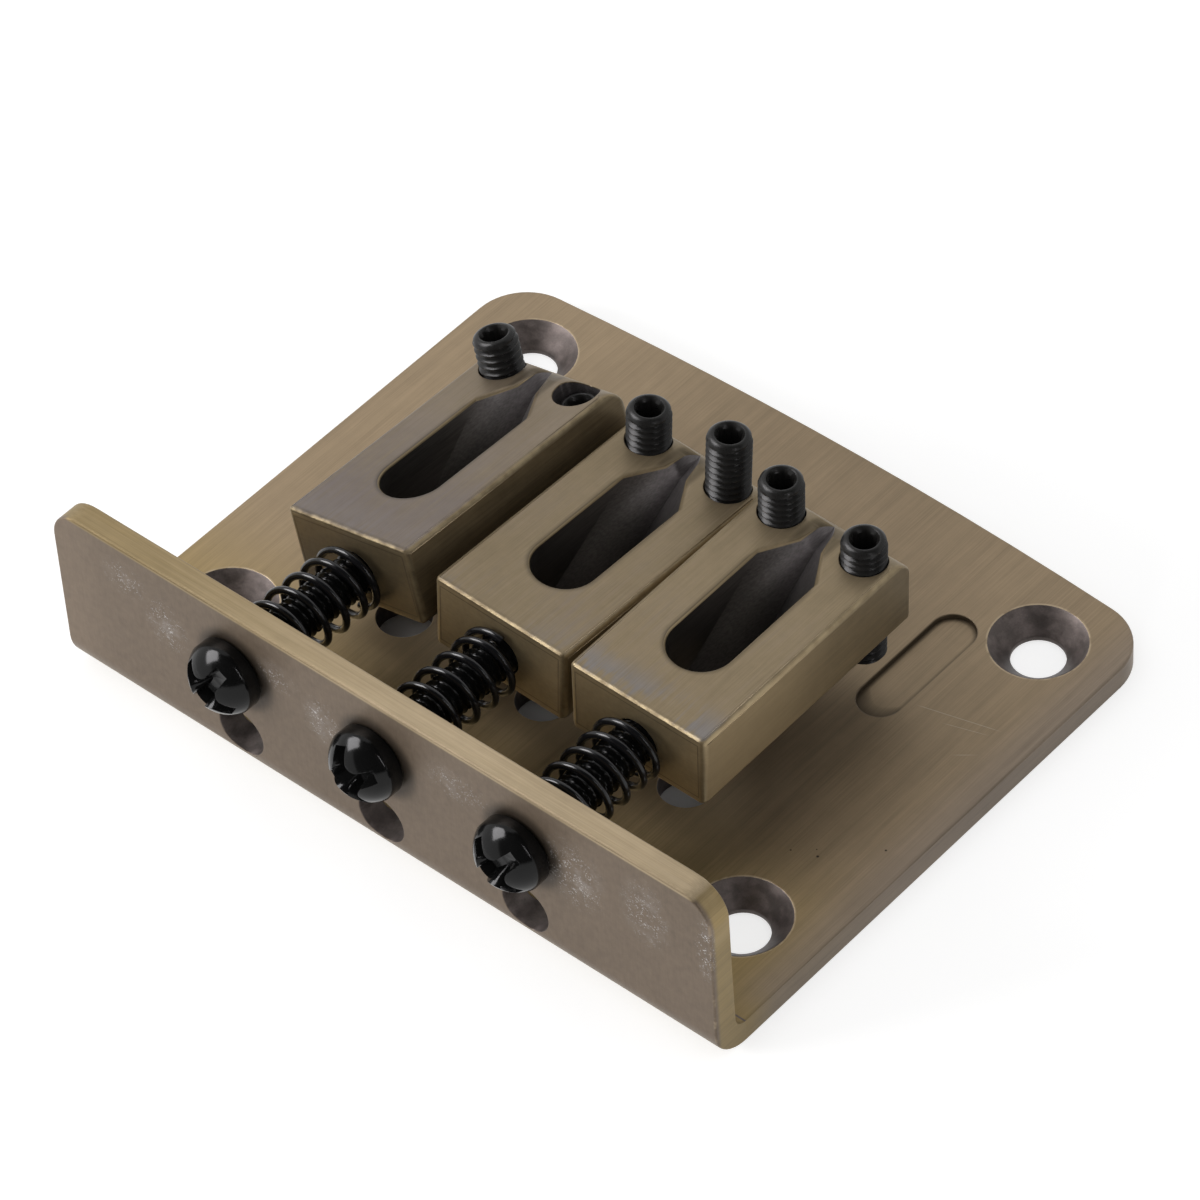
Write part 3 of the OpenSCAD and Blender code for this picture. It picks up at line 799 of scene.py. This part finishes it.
class BRIDGE_OT_saddles(bpy.types.Operator):
    """Dresses the three block saddles in aged brass"""

    bl_idname = "bridge.saddles"
    bl_label = "Saddles"

    # Share of the grey film and of the blue film on each saddle's top, then painted light and shade:
    # how much paler its rear face is painted, and how much paler its right side is painted at the rear and at the
    # front
    films_and_painted_shading = {
        "bass": (0.75, 0.2, -0.25, (-0.4, -0.4)),
        "middle": (0.20, 0.25, 0.25, (0.0, 0.0)),
        "treble": (0.12, 0.9, 0.2, (0.6, -0.25)),
    }
    hole_round = 0.08 * MM
    hole_zone = 1.6 * MM
    rear_skin = 0.05 * MM

    def execute(self, context):
        looks = context.scene.bridge
        for string in STRINGS:
            node = f"saddle_{string}"
            low, high = local_box(node, FRAMES[string])
            place = FRAMES[string] @ Matrix.Translation((0, low.y, 0))
            low.y, high.y = 0.0, high.y - low.y
            brass = saddle_brass(looks.saddle, string, *self.films_and_painted_shading[string], low, high)
            bm = clean_copy(node, place)
            for face in bm.faces:
                face.material_index = int(self.is_inner(face.calc_center_median(), low, high))
            outside = convex_edges(
                bm, lambda p: not self.is_inner(p, low, high) and not self.is_mouth(p, high))
            round_edges(bm, outside, looks.saddle.edge_round, 3)
            slot = convex_edges(bm, lambda p: self.is_slot(p, high))
            round_edges(bm, slot, looks.saddle.rim_round, 3, material=0)
            holes = convex_edges(
                bm, lambda p: self.is_mouth(p, high) and self.is_screw_hole(p, high))
            round_edges(bm, holes, self.hole_round, 2, material=0)
            piece = add_piece(
                f"block_saddle_{string}", mesh_from(bm, node + "_dressed"), place,
                [brass, slot_sheen(looks.saddle, high)], f"{string}_saddle", node)
            even_shading(piece)
        return {"FINISHED"}

    def is_inner(self, point, low, high):
        """True for a point that lies inside a saddle's outer faces, on a slot's or hole's wall."""
        skin = 0.03 * MM
        if abs(point.x) > high.x - SADDLE_EDGE - skin:
            return False
        if min(point.y, high.y - point.y, high.z - point.z, point.z - low.z) < skin:
            return False
        nose_y, nose_z = high.y - NOSE_RADIUS, high.z - NOSE_RADIUS
        on_nose = point.y > nose_y and point.z > nose_z
        return not on_nose or math.hypot(point.y - nose_y, point.z - nose_z) < NOSE_RADIUS - skin

    def is_mouth(self, point, high):
        """True on the rim of the slot, of the notch or of a screw hole, off the outer edges."""
        inside = abs(point.x) < high.x - SADDLE_EDGE - self.rear_skin and point.y > self.rear_skin
        return inside or math.hypot(point.x, point.z) < self.hole_zone

    def is_slot(self, point, high):
        """True on the rim of the slot, up to where the nose starts."""
        behind_nose = point.y < high.y - NOSE_RADIUS + 0.1 * MM
        return behind_nose and self.is_mouth(point, high) and not self.is_screw_hole(point, high)

    def is_screw_hole(self, point, high):
        """True near a height screw's hole or the intonation screw's."""
        across = abs(point.x) - HEIGHT_SCREW_OUT
        back = point.y - (high.y - HEIGHT_SCREW_BACK)
        return math.hypot(across, back) < self.hole_zone or point.y < self.rear_skin


def thread_radius(turns, crest, depth):
    """Radius of a thread at a number of turns along it: flat crest, flat root and two flanks."""
    half_crest, flank = 0.12, 0.66
    from_crest = abs(turns % 1.0 - 0.5) / 0.5
    return crest - depth * min(max((from_crest - half_crest) / flank, 0.0), 1.0)


def ring(bm, columns, z, reach):
    """Ring of points at a height. reach gives their distance from the axis at an angle."""
    points = []
    for column in range(columns):
        angle = 2 * math.pi * column / columns
        away = reach(angle)
        points.append(bm.verts.new((away * math.cos(angle), away * math.sin(angle), z)))
    return points


def add_thread(bm, look, low, high, crest, limit):
    """Adds a threaded rod along Z between two heights; limit gives the greatest radius at a height."""
    rows = max(2, round((high - low) / look.pitch * look.rows_per_turn))
    rings = []
    for row in range(rows + 1):
        z = low + (high - low) * row / rows

        def reach(angle):
            turns = z / look.pitch - angle / (2 * math.pi)
            return min(thread_radius(turns, crest, look.thread_depth), limit(z))

        rings.append(ring(bm, look.columns, z, reach))
    loft(bm, rings)
    return rings


def loft(bm, rings, closed=False):
    """Joins rings of as many points with bands of faces. closed puts a face on both ends."""
    for outer, inner in zip(rings, rings[1:]):
        for k in range(len(outer)):
            after = (k + 1) % len(outer)
            bm.faces.new((outer[k], outer[after], inner[after], inner[k]))
    if closed:
        bm.faces.new(rings[0])
        bm.faces.new(rings[-1])


def cap(bm, rim, centre_z):
    """Closes a ring with a fan round a point on the axis."""
    centre = bm.verts.new((0, 0, centre_z))
    for one, two in zip(rim, rim[1:] + rim[:1]):
        bm.faces.new((one, two, centre))


class BRIDGE_OT_height_screws(bpy.types.Operator):
    """Makes the six threaded grub screws with hexagon sockets"""

    bl_idname = "bridge.height_screws"
    bl_label = "Height screws"

    # Rounded mouth of the socket in millimetres: depth of the thread's end below the top,
    # then radius and depth of each ring inwards
    thread_end = 0.36
    mouth = ((1.36, 0.20), (1.25, 0.09), (1.13, 0.02), (1.02, 0.0), (0.94, 0.03), (0.90, 0.10))
    flats_start = 0.30 * MM
    drill_point = 0.35 * MM

    def execute(self, context):
        look = context.scene.bridge.screw
        black = black_steel("satin_black_steel", look.satin_black, 0.30, 0.16, 0.2)
        for string in STRINGS:
            for side in SIDES:
                node = f"height_screw_{string}_{side}"
                low, high = local_box(node, FRAMES[string])
                axis = (low + high) / 2
                place = FRAMES[string] @ Matrix.Translation((axis.x, axis.y, low.z))
                mesh = self.grub_screw(look, high.z - low.z, (high.x - low.x) / 2)
                add_piece(
                    f"grub_screw_{string}_{side}", mesh, place, [black],
                    f"{string}_height_{side}", node)
        return {"FINISHED"}

    def grub_screw(self, look, height, crest):
        """Mesh of a grub screw from its foot at the origin up."""
        foot = crest - END_CHAMFER
        floor = height - look.socket_depth

        def hexagon(angle):
            return look.socket_flats / 2 / math.cos(angle % (math.pi / 3) - math.pi / 6)

        inwards = [
            (height - depth * MM, lambda angle, radius=radius: radius * MM)
            for radius, depth in self.mouth]
        inwards += [(height - self.flats_start, hexagon), (floor, hexagon)]
        bm = bmesh.new()
        rings = add_thread(
            bm, look, 0.0, height - self.thread_end * MM, crest, lambda z: foot + z)
        cap(bm, rings[0], 0.0)
        socket = [ring(bm, look.columns, z, reach) for z, reach in inwards]
        loft(bm, [rings[-1], *socket])
        cap(bm, socket[-1], floor - self.drill_point)
        bmesh.ops.recalc_face_normals(bm, faces=bm.faces)
        return mesh_from(bm, "grub_screw", math.radians(30))


class BRIDGE_OT_intonation_screws(bpy.types.Operator):
    """Makes the three intonation screws with domed cross-recess heads"""

    bl_idname = "bridge.intonation_screws"
    bl_label = "Intonation screws"

    # Turn of each screw's cross recess, in degrees
    turns = {"bass": -47, "middle": -28, "treble": -50}
    # Cross recess from its mouth down: half width of an arm, reach and inner corner radius in
    # millimetres, and share of the depth
    sections = (
        (0.62, 2.75, 1.10, -0.18),
        (0.55, 2.50, 0.95, 0.0),
        (0.45, 2.05, 0.50, 0.53),
        (0.36, 1.65, 0.30, 1.0),
    )

    def execute(self, context):
        look = context.scene.bridge.screw
        black = black_steel("gloss_black_steel", look.gloss_black, 0.15, 0.06, 0.20)
        for string in STRINGS:
            node = f"intonation_screw_{string}"
            low, high = local_box(node, FRAMES[string])
            place = FRAMES[string] @ Matrix.Rotation(math.radians(-90), 4, "X")
            place = place @ Matrix.Rotation(math.radians(self.turns[string]), 4, "Z")
            head_radius = (high.x - low.x) / 2 - HEAD_INSET
            mesh = self.screw(look, low.y - HEAD_PROUD, high.y, head_radius)
            add_piece(
                f"pan_screw_{string}", mesh, place, [black],
                f"{string}_screw", node)
        return {"FINISHED"}

    def screw(self, look, outer_end, tip, head_radius):
        """Mesh of a screw along Z, whose head ends at outer_end and whose thread ends at tip."""
        seat = -SEAT_AIR
        neck = seat - 0.3 * MM
        point = SCREW_CREST - END_CHAMFER
        bm = bmesh.new()
        rings = add_thread(bm, look, neck, tip, SCREW_CREST, lambda z: point + (tip - z))
        cap(bm, rings[0], neck)
        cap(bm, rings[-1], tip)
        self.add_head(bm, look, outer_end, seat, head_radius)
        bmesh.ops.recalc_face_normals(bm, faces=bm.faces)
        return mesh_from(bm, "pan_screw", math.radians(32))

    def add_head(self, bm, look, outer_end, seat, radius):
        """Adds the domed head, cut by its cross recess."""
        head = self.head_blank(outer_end, seat, radius)
        cutter = self.recess(look, outer_end)
        cut = head.modifiers.new("recess", "BOOLEAN")
        cut.operation = "DIFFERENCE"
        cut.solver = "EXACT"
        cut.object = cutter
        soft = head.modifiers.new("rim", "BEVEL")
        soft.width = 0.08 * MM
        soft.segments = 2
        soft.limit_method = "ANGLE"
        soft.angle_limit = math.radians(40)
        graph = bpy.context.evaluated_depsgraph_get()
        bm.from_mesh(head.evaluated_get(graph).to_mesh())
        for extra in (head, cutter):
            bpy.data.objects.remove(extra)

    def head_blank(self, outer_end, seat, radius):
        """Head as a solid of revolution: a short upright rim under a round crown."""
        crown = seat - outer_end - HEAD_RIM
        ball = (radius ** 2 + crown ** 2) / (2 * crown)
        spread = math.asin(radius / ball)
        foot_round = 0.1 * MM
        steps, columns = 20, 96
        profile = [(radius - foot_round, seat), (radius, seat - foot_round)]
        for step in range(steps):
            angle = spread * (1 - step / steps)
            profile.append((ball * math.sin(angle), outer_end + ball - ball * math.cos(angle)))
        bm = bmesh.new()
        rings = [ring(bm, columns, z, lambda angle, reach=reach: reach) for reach, z in profile]
        loft(bm, rings)
        cap(bm, rings[0], seat)
        cap(bm, rings[-1], outer_end)
        return self.loose_object(bm, "head_blank")

    def recess(self, look, outer_end):
        """Cutter for the cross recess, narrower towards its floor."""
        bm = bmesh.new()
        rings = []
        for half_width, reach, corner, share in self.sections:
            z = outer_end + share * look.recess_depth
            outline = self.cross(half_width * MM, reach * MM, corner * MM, z)
            rings.append([bm.verts.new(point) for point in outline])
        loft(bm, rings, closed=True)
        return self.loose_object(bm, "recess_cutter")

    def cross(self, half_width, reach, corner, z):
        """Outline of a cross with round inner corners, at a height."""
        steps = 8
        points = []
        for quarter in range(4):
            turn = Matrix.Rotation(0.5 * math.pi * quarter, 2)
            outline = [Vector((reach, -half_width)), Vector((reach, half_width))]
            centre = half_width + corner
            for step in range(1, steps):
                angle = 0.5 * math.pi * step / steps
                inwards = Vector((math.sin(angle), math.cos(angle)))
                outline.append(Vector((centre, centre)) - corner * inwards)
            points += [(*(turn @ point), z) for point in outline]
        return points

    def loose_object(self, bm, name):
        """An object for a modifier to work on."""
        bmesh.ops.recalc_face_normals(bm, faces=bm.faces)
        return add_object(name, mesh_from(bm, name, math.radians(32)))


class BRIDGE_OT_springs(bpy.types.Operator):
    """Winds the three compression springs on the intonation screws"""

    bl_idname = "bridge.springs"
    bl_label = "Springs"

    # Turn of each spring about its screw, in degrees
    turned = {"bass": 90, "middle": 288, "treble": 144}

    def execute(self, context):
        look = context.scene.bridge.spring
        black = black_steel("black_wire", look.black, 0.17, 0.05, 0.35)
        for string in STRINGS:
            node = f"intonation_spring_{string}"
            low, high = local_box(node, FRAMES[string])
            turned = math.radians(self.turned[string])
            bm = self.coil(look, low.y, high.y, high.x - low.x, turned)
            bm.transform(FRAMES[string])
            mesh = mesh_from(bm, node + "_wound", math.radians(80))
            mesh.materials.append(black)
            piece = add_object(f"coil_spring_{string}", mesh)
            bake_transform(piece)
            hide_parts(node)
        return {"FINISHED"}

    def rise(self, look, turns, span):
        """Height of the wire's middle above the first turn after a number of turns."""
        closed = look.end_turns * look.end_pitch
        if turns < look.end_turns:
            return turns * look.end_pitch
        if turns < look.end_turns + look.open_turns:
            return closed + (turns - look.end_turns) * (span - 2 * closed) / look.open_turns
        total = 2 * look.end_turns + look.open_turns
        return span - (total - turns) * look.end_pitch

    def coil(self, look, low, high, outer, turned):
        """One closed tube wound right-handed along Y between two heights."""
        steps, sides, nudge = 48, 14, 0.01
        total = 2 * look.end_turns + look.open_turns
        middle_radius = (outer - look.wire) / 2
        span = high - low - look.wire
        bm = bmesh.new()
        rings = []
        for k in range(round(total * steps) + 1):
            turns = k / steps
            angle = -2 * math.pi * turns - turned
            outward = Vector((math.cos(angle), 0, math.sin(angle)))
            middle = outward * middle_radius
            middle.y = low + look.wire / 2 + self.rise(look, turns, span)
            after, before = (self.rise(look, turns + way * nudge, span) for way in (1, -1))
            slope = (after - before) / (2 * nudge)
            turning = 2 * math.pi * middle_radius
            ahead = Vector((math.sin(angle) * turning, slope, -math.cos(angle) * turning))
            beside = ahead.normalized().cross(outward)
            rings.append([
                bm.verts.new(middle + look.wire / 2 * (math.cos(b) * outward + math.sin(b) * beside))
                for b in (2 * math.pi * side / sides for side in range(sides))])
        loft(bm, rings, closed=True)
        bmesh.ops.recalc_face_normals(bm, faces=bm.faces)
        return bm


class BRIDGE_OT_stage(bpy.types.Operator):
    """Sets up the pale floor, the soft studio light and the camera"""

    bl_idname = "bridge.stage"
    bl_label = "Stage"

    def execute(self, context):
        look = context.scene.bridge.stage
        self.camera(context, look)
        self.floor()
        self.world(context, look)
        self.lamps(look)
        self.cards()
        context.scene.view_settings.view_transform = "Standard"
        return {"FINISHED"}

    def camera(self, context, look):
        """Camera at the photograph's viewing angle."""
        sin_a, cos_a = math.sin(look.azimuth), math.cos(look.azimuth)
        sin_e, cos_e = math.sin(look.elevation), math.cos(look.elevation)
        back = Vector((sin_a * cos_e, -cos_a * cos_e, sin_e))
        level = Vector((cos_a, sin_a, 0.0))
        upright = back.cross(level)
        right = math.cos(look.roll) * level + math.sin(look.roll) * upright
        up = back.cross(right)
        lens = bpy.data.cameras.new("camera")
        lens.sensor_width = 36.0
        lens.lens = look.focal
        lens.clip_start, lens.clip_end = 0.01, 10.0
        place = Matrix((right, up, back)).transposed().to_4x4()
        place.translation = Vector(look.target) + back * look.distance
        context.scene.camera = add_object("camera", lens, place)

    def floor(self):
        """Wide pale floor that keeps a soft shadow, and a painted shadow under the saddles, where its glow is
        taken away.
        """
        grey, glow = 0.58, 0.64
        bpy.ops.mesh.primitive_circle_add(vertices=96, radius=3.0, fill_type="NGON")
        floor = bpy.context.object
        floor.name = "floor"
        floor.location.z = -0.02 * MM
        shader = Shader("pale_floor")
        x, y, _ = shader.coords().xyz
        # Painted shadow: the floor's glow is taken away under the middle of the plate, where it shows through the
        # string holes
        under = abs(x).fade(17 * MM, 14 * MM) * abs(y + 4 * MM).fade(16 * MM, 12 * MM)
        matt = shader.node("ShaderNodeBsdfDiffuse", {}, {"Color": [grey] * 3})
        lift = shader.node(
            "ShaderNodeEmission", {},
            {"Color": [1.0] * 3, "Strength": shader.seen() * (glow - glow * under)})
        both = shader.node("ShaderNodeAddShader", {}, [matt, lift])
        floor.data.materials.append(shader.end(both))

    def world(self, context, look):
        """White all round for what is seen or mirrored, and a softer even light."""
        shader = Shader("studio", "World")
        light, shown = (
            shader.node("ShaderNodeBackground", {}, {"Color": [1.0] * 3, "Strength": strength})
            for strength in (look.sky, 1.0))
        context.scene.world = shader.end(
            shader.node("ShaderNodeMixShader", {}, [shader.seen(), light, shown]))

    def lamps(self, look):
        """Soft lamps low behind the lip. Mirrors see the cards in their place."""
        for name, way, away, side, power in (
                ("soft_lamp_left", (-0.63, -0.74, 0.28), 0.60, 0.29, look.key),
                ("soft_lamp_right", (0.45, -0.88, 0.15), 0.60, 0.10, 0.2 * look.key)):
            lamp = bpy.data.lights.new(name, "AREA")
            lamp.shape = "SQUARE"
            lamp.size = side
            lamp.energy = power
            holder = add_object(name, lamp)
            spot = Vector(way).normalized() * away
            holder.location = spot
            holder.rotation_euler = (-spot).to_track_quat("-Z", "Y").to_euler()
            holder.visible_glossy = False

    def cards(self):
        """A black card behind the photographer and two white panes, which only mirrors see."""
        for name, way, away, wide, high, glow in (
                ("black_card", (0.42, -0.42, 0.80), 0.95, 2.1, 2.1, 0.0),
                ("white_pane_left", (-0.58, -0.33, 0.74), 0.70, 0.38, 0.38, 13.0),
                ("white_pane_right", (0.80, -0.15, 0.57), 0.60, 0.03, 0.36, 13.0)):
            bpy.ops.mesh.primitive_plane_add(size=1.0)
            card = bpy.context.object
            card.name = name
            spot = Vector(way).normalized() * away
            card.scale = (wide, high, 1.0)
            card.location = spot
            card.rotation_euler = (-spot).to_track_quat("Z", "Y").to_euler()
            for ray in ("camera", "diffuse", "transmission", "shadow", "volume_scatter"):
                setattr(card, "visible_" + ray, False)
            shader = Shader(name)
            light = shader.node(
                "ShaderNodeEmission", {}, {"Color": (1.0, 0.98, 1.0), "Strength": glow})
            card.data.materials.append(shader.end(light))


OPERATORS = (
    BRIDGE_OT_plate,
    BRIDGE_OT_saddles,
    BRIDGE_OT_height_screws,
    BRIDGE_OT_intonation_screws,
    BRIDGE_OT_springs,
    BRIDGE_OT_stage,
)


class BRIDGE_PT_panel(bpy.types.Panel):
    """Lists what the bridge is dressed with"""

    bl_label = "Bridge"
    bl_idname = "BRIDGE_PT_panel"
    bl_space_type = "VIEW_3D"
    bl_region_type = "UI"
    bl_category = "Bridge"

    def draw(self, context):
        for operator in OPERATORS:
            self.layout.operator(operator.bl_idname)


LOOKS = (
    BridgePlateLook,
    BridgeSaddleLook,
    BridgeScrewLook,
    BridgeSpringLook,
    BridgeStageLook,
    BridgeSettings,
)
CLASSES = (*LOOKS, *OPERATORS, BRIDGE_PT_panel)


def register():
    for made in CLASSES:
        bpy.utils.register_class(made)
    bpy.types.Scene.bridge = PointerProperty(type=BridgeSettings)


def unregister():
    del bpy.types.Scene.bridge
    for made in reversed(CLASSES):
        bpy.utils.unregister_class(made)


def main():
    register()
    bpy.ops.bridge.plate()
    bpy.ops.bridge.saddles()
    bpy.ops.bridge.height_screws()
    bpy.ops.bridge.intonation_screws()
    bpy.ops.bridge.springs()
    bpy.ops.bridge.stage()
    bpy.context.view_layer.update()


if __name__ == "__main__":
    main()
